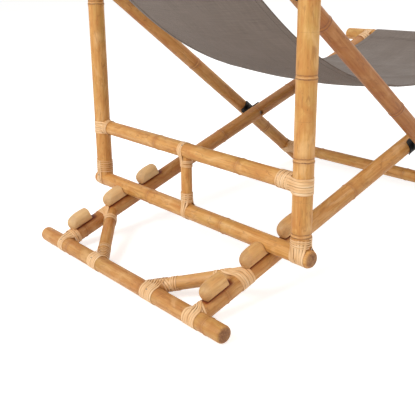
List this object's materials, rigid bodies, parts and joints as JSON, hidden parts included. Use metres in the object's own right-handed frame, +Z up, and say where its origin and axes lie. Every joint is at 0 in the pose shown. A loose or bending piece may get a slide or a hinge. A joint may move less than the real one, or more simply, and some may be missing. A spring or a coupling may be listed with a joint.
{
  "type": "folding recliner",
  "caption": "Folding sling recliner of bamboo poles: a back frame and a seat frame cross on bolts, and a hinged prop frame stands in a rack of notch blocks.",
  "frame": {"origin": "on the floor, under the centre of the chair's box", "axes": "+X to the sitter's left, +Y to the rear (behind the backrest), +Z up"},
  "size_m": [0.685, 1.109, 0.7962],
  "materials": {
    "bamboo": "honey-coloured solid bamboo pole, clear satin varnish",
    "split_cane": "pale split cane strip, satin",
    "black_plastic": "moulded black plastic",
    "zinc_steel": "zinc-plated steel",
    "canvas": "taupe-grey woven canvas, matte"
  },
  "bodies": {
    "back_frame": {"back_rail_left": "bamboo", "back_rail_right": "bamboo", "foot_stretcher": "bamboo", "head_bar": "bamboo", "lashing_foot_stretcher_left": "split_cane", "lashing_foot_stretcher_right": "split_cane", "lashing_head_bar_left": "split_cane", "lashing_head_bar_right": "split_cane", "hinge_saddle_outer_left": "black_plastic", "hinge_saddle_outer_right": "black_plastic", "pivot_saddle_inner_left": "black_plastic", "pivot_saddle_inner_right": "black_plastic", "hinge_bolt_left": "zinc_steel", "hinge_bolt_right": "zinc_steel", "hinge_nut_left": "zinc_steel", "hinge_nut_right": "zinc_steel", "pivot_bolt_left": "zinc_steel", "pivot_bolt_right": "zinc_steel", "pivot_nut_left": "zinc_steel", "pivot_nut_right": "zinc_steel", "sling": "canvas"},
    "seat_frame": {"seat_rail_left": "bamboo", "seat_rail_right": "bamboo", "rear_floor_bar": "bamboo", "front_bar": "bamboo", "corner_brace_left": "bamboo", "corner_brace_right": "bamboo", "rack_block_left_1": "bamboo", "rack_block_left_2": "bamboo", "rack_block_left_3": "bamboo", "rack_block_right_1": "bamboo", "rack_block_right_2": "bamboo", "rack_block_right_3": "bamboo", "lashing_floor_bar_left": "split_cane", "lashing_floor_bar_right": "split_cane", "lashing_front_bar_left": "split_cane", "lashing_front_bar_right": "split_cane", "lashing_brace_foot_left": "split_cane", "lashing_brace_foot_right": "split_cane", "lashing_brace_head_left": "split_cane", "lashing_brace_head_right": "split_cane", "hinge_saddle_inner_left": "black_plastic", "hinge_saddle_inner_right": "black_plastic"},
    "prop_frame": {"prop_post_left": "bamboo", "prop_post_right": "bamboo", "prop_lower_bar": "bamboo", "prop_upper_bar": "bamboo", "prop_strut": "bamboo", "lashing_post_foot_left": "split_cane", "lashing_post_foot_right": "split_cane", "lashing_upper_bar_left": "split_cane", "lashing_upper_bar_right": "split_cane", "lashing_strut_top": "split_cane", "lashing_strut_foot": "split_cane", "pivot_saddle_outer_left": "black_plastic", "pivot_saddle_outer_right": "black_plastic"}
  },
  "joints": [
    {"name": "seat_fold", "type": "hinge", "parent": "back_frame", "child": "seat_frame", "pos_m": [0, -0.09423, 0.18207], "axis": [-1, 0, 0], "range_deg": [0, 108], "deforming": ["sling"]},
    {"name": "prop_fold", "type": "hinge", "parent": "back_frame", "child": "prop_frame", "pos_m": [0, 0.2755, 0.53146], "axis": [-1, 0, 0], "range_deg": [0, 45.5]}
  ],
  "couplings": [
    {"joint": "prop_fold", "follows": "seat_fold", "ratio": 0.418}
  ]
}
